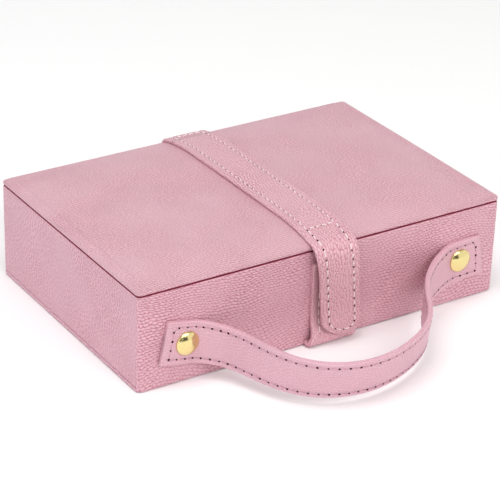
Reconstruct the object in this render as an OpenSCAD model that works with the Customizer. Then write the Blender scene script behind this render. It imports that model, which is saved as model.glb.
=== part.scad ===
// Travel jewelry case: a leather-covered board box with a flat book-hinged lid,
// a two-ply closing strap over the middle and a riveted carrying handle in front.
// Frame: X to the right, Y to the back, Z up. The origin is the middle of the underside.

/* [Case] */
// Width of the case, left to right
case_w = 205; // [180:1:240]
// Depth of the case, front to back
case_d = 136; // [125:1:160]
// Height of the walls from the table to the rim
wall_h = 50; // [46:1:70]
// Radius of the upright corners of the covering
corner_r = 2.2; // [1.6:0.1:3]

/* [Boards and coverings] */
// Thickness of the covering leather
leather_t = 0.9; // [0.7:0.1:1.1]
// Thickness of the wall boards
board_t = 2.2; // [1.8:0.1:2.6]
// Thickness of the suede lining
lining_t = 0.8; // [0.6:0.1:1]
// Thickness of the base panel, board and covering together
base_t = 2.4; // [2:0.1:3]
// Thickness of the padded floor inside
floor_t = 1.2; // [0.8:0.1:2]

/* [Lid] */
// Thickness of the lid at its edges, board and coverings together
lid_t = 2.4; // [2.2:0.1:4]
// Height that the padding raises the middle of the lid
crown_h = 3.5; // [2:0.5:4]
// Gap between the rim and the closed lid
lid_gap = 0.2; // [0.1:0.1:0.4]
// Width of the leather turned in round the underside of the lid
turn_in = 9; // [6:1:14]
// Width of the mirror glass
mirror_w = 132; // [100:1:150]
// Height of the mirror glass
mirror_d = 74; // [60:1:90]

/* [Closing strap] */
// Width of the closing strap
strap_w = 24; // [18:0.5:30]
// Distance of the strap to the right of the middle of the case
strap_x = 2; // [0:0.5:6]
// Thickness of the two-ply strap
strap_t = 2; // [1.6:0.1:2.4]
// Length of the loose tongue from its bend to its rounded tip
tongue_len = 47.5; // [40:0.5:48]
// Sideways drift of the tongue's tip to the right
tongue_skew = 3.5; // [0:0.5:4]
// Lean of the hanging tongue away from the case
tongue_lean = 5; // [4:0.5:6]

/* [Handle] */
// Width of the handle strap
handle_w = 22; // [18:0.5:24]
// Thickness of the handle strap
handle_t = 3; // [2.4:0.1:3.4]
// Distance of each rivet from the middle of the case
rivet_x = 78; // [76:0.5:80]
// Height of the left rivet above the table
rivet_z_left = 21.6; // [20:0.2:25]
// Height of the right rivet above the table
rivet_z_right = 24.4; // [20:0.2:25]
// Downward tilt of the drooping handle
handle_droop = 6.5; // [4:0.5:8]

/* [Inside] */
// Number of ring rolls
roll_count = 5; // [3:1:5]
// Height of the dividers above the table
divider_h = 33; // [26:1:38]

/* [Hidden] */
ROLLS = [for (i = [1:roll_count]) str("ring_roll_", i)];
CROSS = [for (i = [1:3]) str("cross_divider_", i)];

$fn = 64;
eps = 0.01;

// Colours of the outer leather, the suede and the hidden board
pink = "#d9a3b2";
suede = "#e3c3c9";
greyboard = "#a59c8f";
brass = "#d8b25a";
steel = "#b9bcc2";

// Half sizes of the case and the planes that everything else is placed from
half_w = case_w / 2;
half_d = case_d / 2;
wall_t = leather_t + board_t + lining_t;
floor_z = base_t + floor_t;
in_w = half_w - wall_t;
in_d = half_d - wall_t;
lining_top = wall_h - leather_t;
lid_z = wall_h + lid_gap;
lid_top = lid_z + lid_t;

// The lid's covering on its top and underside
lid_skin = 0.6;
lid_under = 0.5;

// Crown of the padded lid: inset from the edge, and share of the full height reached there
crown = [[0.6, 0], [4, 0.34], [9, 0.64], [16, 0.87], [24, 0.97], [32, 1]];
crown_flat = 0.02;
strap_gap = 0.08;

// Mirror and its suede frame under the lid
mirror_t = 2;
frame_t = 2.6;
frame_border = 9;

// Inside layout: one long divider, with the ring rolls behind it on the left
divider_t = 3;
divider_y = 4;
cross_x = [-18.5, 42, 12];
fit_gap = 0.2;
roll_top = 30;
bed_top = 16;
roll_gap = 0.6;
bed_x0 = -in_w + fit_gap;
bed_x1 = cross_x[0] - divider_t / 2 - fit_gap;
bed_y0 = divider_y + divider_t / 2 + fit_gap;
bed_y1 = in_d - fit_gap;

// Leather hinge on the back of the rear wall
hinge_t = 0.7;
hinge_low = 36;
hinge_high = wall_h - 0.4;

// Closing strap: the bend over the lid's front edge and the tongue's pivot
bend_r = 2.6;
bend_c = [-half_d + 0.4, lid_top - bend_r];
pivot_gap = 0.1;
tongue_y = bend_c[0] - bend_r - strap_t - pivot_gap;
tongue_z = bend_c[1] - 0.3;
tip_r = strap_w / 2;
keeper_x = strap_x + 1;
keeper_t = 2.4;
keeper_top = 44;
keeper_bulge = 2.9;
magnet_r = 5;
magnet_t = 1.2;
magnet_x = strap_x + 2.5;
magnet_z = 16;

// Handle: plan of its middle line from the left rivet round the front to the right rivet
tab_t = handle_t;
tab_y = -half_d - tab_t / 2;
tab_end = 13;
handle_line = [[-rivet_x, tab_y], [-74.5, tab_y], [-72, tab_y], [-69, -70.4], [-65, -74],
               [-60, -81], [-55.5, -91.5], [-51, -102.5], [-44.5, -112.5], [-36, -120],
               [-25.5, -125], [-14, -127], [-2.5, -126.2], [8.5, -123], [19, -118],
               [28.5, -111.5], [36, -103], [42, -93.5], [49, -84], [57, -77], [64, -73],
               [69, -70.4], [72, tab_y], [74.5, tab_y], [rivet_x, tab_y]];
line_steps = 4;
tab_split = 60;
loop_split = 57.4;
loop_z = 21.4;
loop_roll = 1.5;
tab_dip = [11, 4.5];

// Rivets: a low dome, a shank through the wall and a washer against the board
cap_r = 6;
cap_h = 2.6;
cap_edge = 0.7;
shank_r = 1.6;
hole_r = 1.7;
washer_r = 4.5;
washer_t = 0.7;

// A board or panel given by its low and high corners
module slab(low, high) {
    translate(low)
        cube(high - low);
}

// A flat plate with rounded upright corners, centred on the origin
module round_plate(w, d, r, z0, z1) {
    translate([0, 0, z0])
        linear_extrude(z1 - z0)
            union() {
                square([w, d - 2 * r], center = true);
                square([w - 2 * r, d], center = true);
                for (x = [-1, 1], y = [-1, 1])
                    translate([x * (w / 2 - r), y * (d / 2 - r)])
                        circle(r = r);
            }
}

// A disc or bar that runs along Y from y0 to y1
module along_y(x, z, r, y0, y1) {
    translate([x, y0, z])
        rotate([-90, 0, 0])
            cylinder(r = r, h = y1 - y0);
}

// A profile drawn in the Y-Z plane and extruded across a strap whose middle is at x
module across(w, x) {
    translate([x - w / 2, 0, 0])
        rotate([90, 0, 90])
            linear_extrude(w)
                children();
}

module base_cover() {
    color(pink)
        difference() {
            slab([-half_w, -half_d + leather_t, 0], [half_w, half_d, base_t]);
            slab([-half_w + leather_t, -half_d + 2 * leather_t, leather_t],
                 [half_w - leather_t, half_d - leather_t, base_t + eps]);
        }
}

module base_board() {
    color(greyboard)
        slab([-half_w + leather_t, -half_d + 2 * leather_t, leather_t],
             [half_w - leather_t, half_d - leather_t, base_t]);
}

// Hole through the front board for a rivet, with a seat for its washer inside
module rivet_hole(x, z) {
    along_y(x, z, hole_r, -half_d - 1, -half_d + leather_t + board_t + eps);
    along_y(x, z, washer_r + 0.1, -half_d + leather_t + board_t - washer_t,
            -half_d + leather_t + board_t + eps);
}

module both_rivet_holes() {
    rivet_hole(-rivet_x, rivet_z_left);
    rivet_hole(rivet_x, rivet_z_right);
}

module front_board() {
    color(greyboard)
        difference() {
            slab([-half_w + leather_t, -half_d + leather_t, base_t],
                 [half_w - leather_t, -half_d + leather_t + board_t, lining_top]);
            both_rivet_holes();
        }
}

module rear_board() {
    color(greyboard)
        slab([-half_w + leather_t, half_d - leather_t - board_t, base_t],
             [half_w - leather_t, half_d - leather_t, lining_top]);
}

module left_board() {
    color(greyboard)
        slab([-half_w + leather_t, -half_d + leather_t + board_t, base_t],
             [-half_w + leather_t + board_t, half_d - leather_t - board_t, lining_top]);
}

module right_board() {
    color(greyboard)
        mirror([1, 0, 0])
            slab([-half_w + leather_t, -half_d + leather_t + board_t, base_t],
                 [-half_w + leather_t + board_t, half_d - leather_t - board_t, lining_top]);
}

// Leather skin round the four walls: it turns in over the rim, and in front runs down over the base
module wall_cover() {
    color(pink)
        difference() {
            union() {
                round_plate(case_w, case_d, corner_r, base_t, wall_h);
                slab([-half_w + corner_r, -half_d, 0.3],
                     [half_w - corner_r, -half_d + leather_t, base_t + 1]);
            }
            slab([-half_w + leather_t, -half_d + leather_t, base_t - eps],
                 [half_w - leather_t, half_d - leather_t, lining_top]);
            slab([-in_w, -in_d, base_t], [in_w, in_d, wall_h + 1]);
            both_rivet_holes();
        }
}

module wall_lining() {
    color(suede)
        difference() {
            slab([-in_w - lining_t, -in_d - lining_t, base_t],
                 [in_w + lining_t, in_d + lining_t, lining_top]);
            slab([-in_w, -in_d, base_t - 1], [in_w, in_d, wall_h]);
        }
}

module floor_pad() {
    color(suede)
        slab([-in_w, -in_d, base_t], [in_w, in_d, floor_z]);
}

module long_divider() {
    color(suede)
        slab([-in_w + fit_gap, divider_y - divider_t / 2, floor_z],
             [in_w - fit_gap, divider_y + divider_t / 2, divider_h]);
}

// Cross dividers: the first two stand behind the long divider and the third in front of it
module cross_divider(i) {
    behind = i < 3;
    y0 = behind ? divider_y + divider_t / 2 : -in_d + fit_gap;
    y1 = behind ? in_d - fit_gap : divider_y - divider_t / 2;
    x = cross_x[i - 1];
    color(suede)
        slab([x - divider_t / 2, y0, floor_z], [x + divider_t / 2, y1, divider_h]);
}

// Bed of foam that lifts the ring rolls towards the rim
module ring_bed() {
    color(suede)
        slab([bed_x0, bed_y0, floor_z], [bed_x1, bed_y1, bed_top]);
}

// One ring roll: a foam bar with a half-round top, side by side with its neighbours
module ring_roll(i) {
    pitch = (bed_y1 - bed_y0) / roll_count;
    r = (pitch - roll_gap) / 2;
    y = bed_y0 + pitch * (i - 0.5);
    color(suede)
        translate([bed_x0, y, 0])
            rotate([90, 0, 90])
                linear_extrude(bed_x1 - bed_x0)
                    union() {
                        translate([0, roll_top - r])
                            circle(r = r);
                        translate([-r, bed_top])
                            square([2 * r, roll_top - r - bed_top]);
                    }
}

// Strap under the tongue: flat on the front wall, bulging where it tucks in under the base
module keeper_strap() {
    color(pink)
        difference() {
            across(strap_w, keeper_x)
                union() {
                    translate([-half_d - keeper_t, keeper_bulge])
                        square([keeper_t, keeper_top - keeper_bulge]);
                    hull() {
                        translate([-half_d - keeper_bulge, keeper_bulge])
                            circle(r = keeper_bulge);
                        translate([-half_d - keeper_t, 12])
                            square([keeper_t, 1]);
                        translate([-half_d - 1, 0])
                            square([1, 1]);
                    }
                }
            along_y(magnet_x, magnet_z, magnet_r + 0.1, -half_d - magnet_t, -half_d + 1);
        }
}

module keeper_magnet() {
    color(steel)
        along_y(magnet_x, magnet_z, magnet_r, -half_d - magnet_t + 0.05, -half_d);
}

// Leather hinge glued to the back of the rear wall
module hinge_leather() {
    color(pink)
        slab([-half_w + 4, half_d, hinge_low], [half_w - 4, half_d + hinge_t, hinge_high]);
}

// The closing strap's tail, sewn down the back over the hinge leather
module rear_strap() {
    color(pink)
        across(strap_w, strap_x)
            polygon([[half_d, 1], [half_d + strap_t, 1], [half_d + strap_t, hinge_low - 2],
                     [half_d + hinge_t + strap_t, hinge_low + 2],
                     [half_d + hinge_t + strap_t, wall_h - 2],
                     [half_d + hinge_t, wall_h - 2], [half_d + hinge_t, hinge_low - eps],
                     [half_d, hinge_low - eps]]);
}

// A smooth curve through the points p, with a given number of steps between two of them
function curve_point(a, b, c, d, t) =
    0.5 * (2 * b + (c - a) * t + (2 * a - 5 * b + 4 * c - d) * t * t
           + (3 * b - a - 3 * c + d) * t * t * t);
function curve(p, steps) = concat(
    [for (i = [0:len(p) - 2], k = [0:steps - 1])
        curve_point(p[max(i - 1, 0)], p[i], p[i + 1], p[min(i + 2, len(p) - 1)], k / steps)],
    [p[len(p) - 1]]);
function unit(v) = v / norm(v);
// The same curve moved sideways by d
function beside(c, d) = [for (i = [0:len(c) - 1])
    let (t = unit(c[min(i + 1, len(c) - 1)] - c[max(i - 1, 0)])) c[i] + d * [-t[1], t[0]]];
function reversed(c) = [for (i = [len(c) - 1:-1:0]) c[i]];

// Plan of the handle strap between its rivets, kept in front of the wall
module handle_plan() {
    line = curve(handle_line, line_steps);
    intersection() {
        polygon(concat(beside(line, handle_t / 2), reversed(beside(line, -handle_t / 2))));
        translate([-case_w, -200])
            square([2 * case_w, 200 - half_d]);
    }
}

module handle_loop() {
    color(pink)
        translate([0, -half_d, loop_z])
            rotate([handle_droop, -loop_roll, 0])
                translate([0, half_d, -handle_w / 2])
                    linear_extrude(handle_w)
                        intersection() {
                            handle_plan();
                            translate([-loop_split, -200])
                                square([2 * loop_split, 200]);
                        }
}

// Handle end: flat on the wall round the rivet, then curving out towards the loop
module handle_tab(side, z, dip) {
    color(pink)
        difference() {
            translate([side * rivet_x, 0, z])
                rotate([0, -side * dip, 0])
                    translate([-side * rivet_x, 0, -handle_w / 2])
                        linear_extrude(handle_w)
                            union() {
                                intersection() {
                                    handle_plan();
                                    translate([side > 0 ? tab_split : -rivet_x - eps, -200])
                                        square([rivet_x - tab_split + eps, 200]);
                                }
                                translate([side > 0 ? rivet_x - 1 : -rivet_x - tab_end, -half_d - tab_t])
                                    square([tab_end + 1, tab_t]);
                            }
            along_y(side * rivet_x, z, hole_r, -half_d - tab_t - 1, -half_d + 1);
        }
}

module handle_tab_left() {
    handle_tab(-1, rivet_z_left, tab_dip[0]);
}

module handle_tab_right() {
    handle_tab(1, rivet_z_right, tab_dip[1]);
}

// Rivet: domed cap on the strap and a shank through to the inside of the board
module rivet(x, z) {
    seat = -half_d - tab_t;
    dome_r = (pow(cap_r, 2) + pow(cap_h - cap_edge, 2)) / (2 * (cap_h - cap_edge));
    color(brass)
        translate([x, seat, z])
            rotate([90, 0, 0])
                union() {
                    cylinder(r = cap_r, h = cap_edge);
                    intersection() {
                        cylinder(r = cap_r, h = cap_h);
                        translate([0, 0, cap_h - dome_r])
                            sphere(r = dome_r, $fn = 120);
                    }
                    translate([0, 0, -(tab_t + leather_t + board_t)])
                        cylinder(r = shank_r, h = tab_t + leather_t + board_t + eps);
                }
}

module rivet_washer(x, z) {
    face = -half_d + leather_t + board_t;
    color(brass)
        difference() {
            along_y(x, z, washer_r, face - washer_t, face);
            along_y(x, z, shank_r + 0.05, face - washer_t - 1, face + 1);
        }
}

// Crowned block of the lid: its outer form, or inset by s and lowered by drop for the padding
module crown_block(s, drop) {
    hull()
        for (c = crown)
            round_plate(case_w - 2 * (c[0] + s), case_d - 2 * (c[0] + s), corner_r - s,
                        lid_top - drop, lid_top - drop + c[1] * crown_h + crown_flat);
}

// Lid covering: leather over the padding and edges, turned in round the underside
module lid_cover() {
    color(pink)
        difference() {
            union() {
                round_plate(case_w, case_d, corner_r, lid_z, lid_top);
                crown_block(0, 0);
            }
            crown_block(leather_t, lid_skin);
            slab([-half_w + leather_t, -half_d + leather_t, lid_z + lid_under],
                 [half_w - leather_t, half_d - leather_t, lid_top - lid_skin + eps]);
            slab([-half_w + turn_in, -half_d + turn_in, lid_z - 1],
                 [half_w - turn_in, half_d - turn_in, lid_z + lid_under + eps]);
        }
}

module lid_board() {
    color(greyboard)
        slab([-half_w + leather_t, -half_d + leather_t, lid_z + lid_under],
             [half_w - leather_t, half_d - leather_t, lid_top - lid_skin]);
}

// Foam that raises the middle of the lid
module lid_pad() {
    color(suede)
        crown_block(leather_t, lid_skin);
}

module lid_lining() {
    color(suede)
        slab([-half_w + turn_in, -half_d + turn_in, lid_z],
             [half_w - turn_in, half_d - turn_in, lid_z + lid_under]);
}

module mirror_frame() {
    color(suede)
        difference() {
            round_plate(mirror_w + 2 * frame_border, mirror_d + 2 * frame_border, 4,
                        lid_z - frame_t, lid_z);
            slab([-mirror_w / 2, -mirror_d / 2, lid_z - mirror_t],
                 [mirror_w / 2, mirror_d / 2, lid_z + 1]);
            slab([-mirror_w / 2 + 2, -mirror_d / 2 + 2, lid_z - frame_t - 1],
                 [mirror_w / 2 - 2, mirror_d / 2 - 2, lid_z + 1]);
        }
}

module mirror_glass() {
    color(steel)
        slab([-mirror_w / 2, -mirror_d / 2, lid_z - mirror_t], [mirror_w / 2, mirror_d / 2, lid_z]);
}

// Line of the closing strap over the crowned lid, from its rear edge to its front edge
function over_lid(lift) = concat(
    [[half_d, lid_top + lift]],
    [for (c = crown) [half_d - c[0], lid_top + c[1] * crown_h + lift]],
    [for (c = reversed(crown)) [c[0] - half_d, lid_top + c[1] * crown_h + lift]],
    [[bend_c[0], lid_top + lift]]);

// Closing strap on the lid, with its bend over the front edge
module lid_strap() {
    color(pink)
        across(strap_w, strap_x)
            union() {
                polygon(concat(over_lid(strap_gap), reversed(over_lid(strap_t))));
                intersection() {
                    difference() {
                        translate(bend_c)
                            circle(r = bend_r + strap_t);
                        translate(bend_c)
                            circle(r = bend_r + strap_gap);
                    }
                    translate([bend_c[0] - bend_r - strap_t, bend_c[1]])
                        square(bend_r + strap_t + crown_flat);
                }
            }
}

// Outline of the tongue, drifting to the right towards its rounded tip
module tongue_outline() {
    drop = tongue_len - tip_r;
    polygon([[-tip_r, 0], [-tip_r + tongue_skew, -drop], [tip_r + tongue_skew, -drop], [tip_r, 0]]);
    translate([tongue_skew, -drop])
        circle(r = tip_r);
}

// Loose end of the closing strap: it hangs in front of the keeper from a line at the bend
module tongue() {
    color(pink)
        translate([strap_x, tongue_y, tongue_z])
            rotate([-tongue_lean, 0, 0])
                difference() {
                    translate([0, pivot_gap + strap_t, 0])
                        rotate([90, 0, 0])
                            linear_extrude(strap_t)
                                tongue_outline();
                    along_y(magnet_x - strap_x, magnet_z - tongue_z, magnet_r + 0.1,
                            pivot_gap + strap_t - magnet_t, strap_t + 1);
                }
}

module tongue_magnet() {
    color(steel)
        translate([strap_x, tongue_y, tongue_z])
            rotate([-tongue_lean, 0, 0])
                along_y(magnet_x - strap_x, magnet_z - tongue_z, magnet_r,
                        pivot_gap + strap_t - magnet_t + 0.05,
                        pivot_gap + strap_t);
}

base_cover();
base_board();
front_board();
rear_board();
left_board();
right_board();
wall_cover();
wall_lining();
floor_pad();
long_divider();
ring_bed();
for (i = [1:3]) cross_divider(i);
for (i = [1:roll_count]) ring_roll(i);
keeper_strap();
keeper_magnet();
rear_strap();
hinge_leather();
handle_tab_left();
handle_tab_right();
rivet(-rivet_x, rivet_z_left);  // rivet_left
rivet(rivet_x, rivet_z_right);  // rivet_right
rivet_washer(-rivet_x, rivet_z_left);  // rivet_washer_left
rivet_washer(rivet_x, rivet_z_right);  // rivet_washer_right
lid_board();
lid_pad();
lid_cover();
lid_lining();
mirror_frame();
mirror_glass();
lid_strap();
tongue();
tongue_magnet();
handle_loop();
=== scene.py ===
# %% [markdown]
# # A travel jewelry case in lizard-grained leather
# The case is a shallow board box wrapped in pink leather. Its padded lid is hinged along the
# back like a book cover, a closing strap runs over the middle, and a riveted handle hangs in
# front. The frame that is loaded here holds the exact engineering solids. This lesson dresses
# them: leather, thread, brass and suede are built over the solids in the same place.

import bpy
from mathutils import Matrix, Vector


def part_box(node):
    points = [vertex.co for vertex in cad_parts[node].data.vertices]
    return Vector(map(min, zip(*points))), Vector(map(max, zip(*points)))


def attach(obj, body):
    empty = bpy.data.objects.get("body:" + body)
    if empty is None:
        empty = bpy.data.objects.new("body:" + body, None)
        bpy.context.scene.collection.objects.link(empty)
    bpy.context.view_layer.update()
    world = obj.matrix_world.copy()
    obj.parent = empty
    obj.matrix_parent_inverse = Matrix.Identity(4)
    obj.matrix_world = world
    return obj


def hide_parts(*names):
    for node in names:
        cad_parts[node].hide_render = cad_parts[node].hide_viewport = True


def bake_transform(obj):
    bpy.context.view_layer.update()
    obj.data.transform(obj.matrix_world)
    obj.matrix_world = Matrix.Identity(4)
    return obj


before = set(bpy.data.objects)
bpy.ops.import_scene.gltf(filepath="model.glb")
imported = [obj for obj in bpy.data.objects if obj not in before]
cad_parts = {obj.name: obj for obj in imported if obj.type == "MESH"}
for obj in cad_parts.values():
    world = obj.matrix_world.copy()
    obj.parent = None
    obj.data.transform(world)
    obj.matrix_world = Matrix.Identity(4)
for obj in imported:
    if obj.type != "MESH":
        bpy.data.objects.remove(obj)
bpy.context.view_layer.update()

# %% Tools from Python and Blender
import bisect
import math
import random

import bpy
from mathutils import Matrix, Vector

random.seed(7)
scene = bpy.context.scene
MM = 0.001

# %% [markdown]
# ## Colour
# Leather makers give colours as swatches, which are sRGB. Blender shades in linear light, so
# one function turns a hex swatch into linear numbers, and every material uses it.

# %% Swatches
def linear(hex_code):
    channels = [int(hex_code[i:i + 2], 16) / 255 for i in (1, 3, 5)]
    return [c / 12.92 if c <= 0.04045 else ((c + 0.055) / 1.055) ** 2.4 for c in channels] + [1.0]


PINK_LEATHER = "#dcb1bb"
PINK_GROOVE_SHADE = "#b25f75"
PINK_WALL = "#dcadb9"
PINK_STRAP = "#deb0ba"
PINK_HANDLE = "#dbafbb"
SUEDE_PINK = "#e2c0c6"
THREAD_WHITE = "#f8e9ea"
THREAD_MAUVE = "#cf9db0"
BRASS_PALE = "#eedc9c"
NICKEL_GREY = "#c9cbd0"
MIRROR_SILVER = "#e9edf0"
GAP_SHADE_BURGUNDY = "#8a2740"
HOLE_SHADOW = "#43141f"
SUEDE_SHEEN = "#f6dfe3"
BOARD_DARK = "#8a8277"
BOARD_PALE = "#aaa296"
print("leather in linear light:", [round(c, 3) for c in linear(PINK_LEATHER)[:3]])

# %% [markdown]
# ## Node graphs
# A material is a small graph of nodes. One function adds a node, sets its values and joins its
# inputs, so that each material below reads like a recipe: what the surface is, then how deep its
# relief is, then how it takes the light. Most surfaces are a swatch that a pattern makes a little
# darker and lighter, with a relief a fraction of a millimetre deep, so those have functions too.

# %% One function that adds a node
def add(tree, kind, inputs=None, **settings):
    node = tree.nodes.new(kind)
    for key, value in settings.items():
        setattr(node, key, value)
    for key, value in (inputs or {}).items():
        socket = node.inputs[key]
        if isinstance(value, bpy.types.NodeSocket):
            tree.links.new(value, socket)
        else:
            socket.default_value = value
    return node


def new_material(name):
    material = bpy.data.materials.new(name)
    material.use_nodes = True
    tree = material.node_tree
    shader = tree.nodes["Principled BSDF"]
    return material, tree, shader


def speckle(tree, scale, detail=2.0, roughness=0.5):
    """Noise over an object's own coordinates, from 0 to 1, with about scale lumps to a metre."""
    place = add(tree, "ShaderNodeTexCoord")
    noise = add(tree, "ShaderNodeTexNoise", {"Vector": place.outputs["Object"], "Scale": scale,
                "Detail": detail, "Roughness": roughness})
    return noise.outputs["Fac"]


def tinted(tree, shader, pattern, swatch, low, high, start=0.0, end=1.0):
    """Gives the shader a swatch times low to high, as the pattern goes from start to end."""
    tone = add(tree, "ShaderNodeMapRange", {"Value": pattern, "From Min": start, "From Max": end,
               "To Min": low, "To Max": high})
    shade = add(tree, "ShaderNodeVectorMath", {0: linear(swatch)[:3]}, operation="SCALE")
    tree.links.new(tone.outputs[0], shade.inputs["Scale"])
    tree.links.new(shade.outputs[0], shader.inputs["Base Color"])


def embossed(tree, shader, height, strength, millimetres):
    bump = add(tree, "ShaderNodeBump", {"Height": height, "Strength": strength,
               "Distance": millimetres * MM})
    tree.links.new(bump.outputs[0], shader.inputs["Normal"])


# %% [markdown]
# ### Lizard-grained leather
# The leather is calf split, dyed through and then pressed between heated plates, which leaves
# rows of small flat scales. The scales of one row sit over the joints of the next, like tiles,
# and the plate bites deepest along the lower lip of each one. Light from above leaves the grooves
# in shade, most of all under each scale, and that shade is painted into the colour as rows of
# short dark crescents. Cells of a Voronoi pattern on a sheared lattice give the tiles. The pattern
# lies on the flattened hide, so it is read from the Grain map, which every leather piece carries
# in metres and which follows the folds.

# %% Leather
def lizard_leather(name, swatch, scale_w, scale_h, depth, groove_shade, loose=0.6, gloss=0.42):
    """Scale sizes and depth are in millimetres. groove_shade is how strongly painted shade darkens the
    grooves, and loose scatters the scales.
    """
    material, tree, shader = new_material(name)
    grain = add(tree, "ShaderNodeUVMap", uv_map="Grain")
    # Rows wander by a few millimetres over a hand's width, as pressed rows do on a stretched hide.
    drift = add(tree, "ShaderNodeTexNoise", {"Vector": grain.outputs[0], "Scale": 32.0, "Detail": 1.0})
    centred = add(tree, "ShaderNodeVectorMath", {0: drift.outputs["Color"], 1: (0.5, 0.5, 0.5)},
                  operation="SUBTRACT")
    shift = add(tree, "ShaderNodeVectorMath", {0: centred.outputs[0]}, operation="SCALE")
    shift.inputs["Scale"].default_value = 0.012
    moved = add(tree, "ShaderNodeVectorMath", {0: grain.outputs[0], 1: shift.outputs[0]})
    rows = add(tree, "ShaderNodeMapping", {"Vector": moved.outputs[0],
               "Scale": (1 / (scale_w * MM), 1 / (scale_h * MM), 1.0)})
    # Each row starts half a scale further on.
    place = add(tree, "ShaderNodeSeparateXYZ", {0: rows.outputs[0]})
    sheared = add(tree, "ShaderNodeMath", {0: place.outputs[1], 1: 0.5, 2: place.outputs[0]},
                  operation="MULTIPLY_ADD")
    lattice = add(tree, "ShaderNodeCombineXYZ", {0: sheared.outputs[0], 1: place.outputs[1]})
    cells = add(tree, "ShaderNodeTexVoronoi", {"Vector": lattice.outputs[0], "Scale": 1.0,
                "Randomness": loose}, voronoi_dimensions="2D", feature="F1")
    rim = add(tree, "ShaderNodeTexVoronoi", {"Vector": lattice.outputs[0], "Scale": 1.0,
              "Randomness": loose}, voronoi_dimensions="2D", feature="DISTANCE_TO_EDGE")
    local = add(tree, "ShaderNodeVectorMath", {0: lattice.outputs[0], 1: cells.outputs["Position"]},
                operation="SUBTRACT")
    spot = add(tree, "ShaderNodeSeparateXYZ", {0: local.outputs[0]})
    # The groove runs all round a scale and is deepest under it. Its painted shade is darkest there, as a
    # crescent.
    low = add(tree, "ShaderNodeMapRange", {"Value": spot.outputs[1], "From Min": 0.12, "From Max": -0.30,
              "To Min": 0.22, "To Max": 1.0}, interpolation_type="SMOOTHSTEP")
    ring = add(tree, "ShaderNodeMapRange", {"Value": rim.outputs["Distance"], "From Min": 0.05,
               "From Max": 0.27, "To Min": 1.0, "To Max": 0.0}, interpolation_type="SMOOTHSTEP")
    groove = add(tree, "ShaderNodeMath", {0: low.outputs[0], 1: ring.outputs[0]}, operation="MULTIPLY")
    dome = add(tree, "ShaderNodeMapRange", {"Value": rim.outputs["Distance"], "From Min": 0.0,
               "From Max": 0.36, "To Min": 0.0, "To Max": 1.0}, interpolation_type="SMOOTHSTEP")
    # Pressure varies over the plate, so the grain fades in soft patches of a few centimetres.
    patch = add(tree, "ShaderNodeTexNoise", {"Vector": grain.outputs[0], "Scale": 26.0, "Detail": 2.0})
    press = add(tree, "ShaderNodeMapRange", {"Value": patch.outputs["Fac"], "From Min": 0.36,
                "From Max": 0.60, "To Min": 0.55, "To Max": 1.0})
    # Painted shade: the grooves, most of all under each scale, are mixed towards a darker pink where light
    # from above doesn't reach.
    painted_groove_shade = add(tree, "ShaderNodeMath", {0: groove.outputs[0], 1: press.outputs[0]}, operation="MULTIPLY")
    strength = add(tree, "ShaderNodeMath", {0: painted_groove_shade.outputs[0], 1: groove_shade}, operation="MULTIPLY")
    base = add(tree, "ShaderNodeMix", {0: strength.outputs[0], 6: linear(swatch), 7: linear(PINK_GROOVE_SHADE)},
               data_type="RGBA")
    # Each scale takes the dye a little differently.
    dye = add(tree, "ShaderNodeMapRange", {"Value": cells.outputs["Color"], "To Min": 0.97, "To Max": 1.03})
    cloud = add(tree, "ShaderNodeMapRange", {"Value": patch.outputs["Fac"], "From Min": 0.3,
                "From Max": 0.7, "To Min": 0.95, "To Max": 1.05})
    tone = add(tree, "ShaderNodeMath", {0: dye.outputs[0], 1: cloud.outputs[0]}, operation="MULTIPLY")
    dyed = add(tree, "ShaderNodeVectorMath", {0: base.outputs[2]}, operation="SCALE")
    tree.links.new(tone.outputs[0], dyed.inputs["Scale"])
    # Pores of about 0.4 mm on top of the scales break up the gloss.
    pores = add(tree, "ShaderNodeTexNoise", {"Vector": grain.outputs[0], "Scale": 2600.0, "Detail": 2.0})
    rough = add(tree, "ShaderNodeMapRange", {"Value": pores.outputs["Fac"], "To Min": gloss - 0.06,
                "To Max": gloss + 0.10})
    bitten = add(tree, "ShaderNodeMath", {0: groove.outputs[0], 1: -0.5, 2: dome.outputs[0]},
                 operation="MULTIPLY_ADD")
    height = add(tree, "ShaderNodeMath", {0: bitten.outputs[0], 1: press.outputs[0]}, operation="MULTIPLY")
    relief = add(tree, "ShaderNodeMath", {0: pores.outputs["Fac"], 1: 0.08, 2: height.outputs[0]},
                 operation="MULTIPLY_ADD")
    embossed(tree, shader, relief.outputs[0], 0.8, depth)
    tree.links.new(dyed.outputs[0], shader.inputs["Base Color"])
    tree.links.new(rough.outputs[0], shader.inputs["Roughness"])
    shader.inputs["IOR"].default_value = 1.5
    shader.inputs["Specular IOR Level"].default_value = 0.5
    return material


leather = lizard_leather("lizard_leather_pink", PINK_WALL, 2.2, 1.5, 0.26, 0.95)
lid_leather = lizard_leather("lizard_leather_lid", PINK_LEATHER, 1.8, 1.25, 0.23, 0.88, 0.5)
strap_leather = lizard_leather("lizard_leather_strap", PINK_STRAP, 1.8, 1.6, 0.27, 0.8, 0.8)
handle_leather = lizard_leather("lizard_leather_handle", PINK_HANDLE, 1.6, 1.4, 0.15, 0.45)
print("leather materials:", leather.name, lid_leather.name, strap_leather.name, handle_leather.name)
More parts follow.
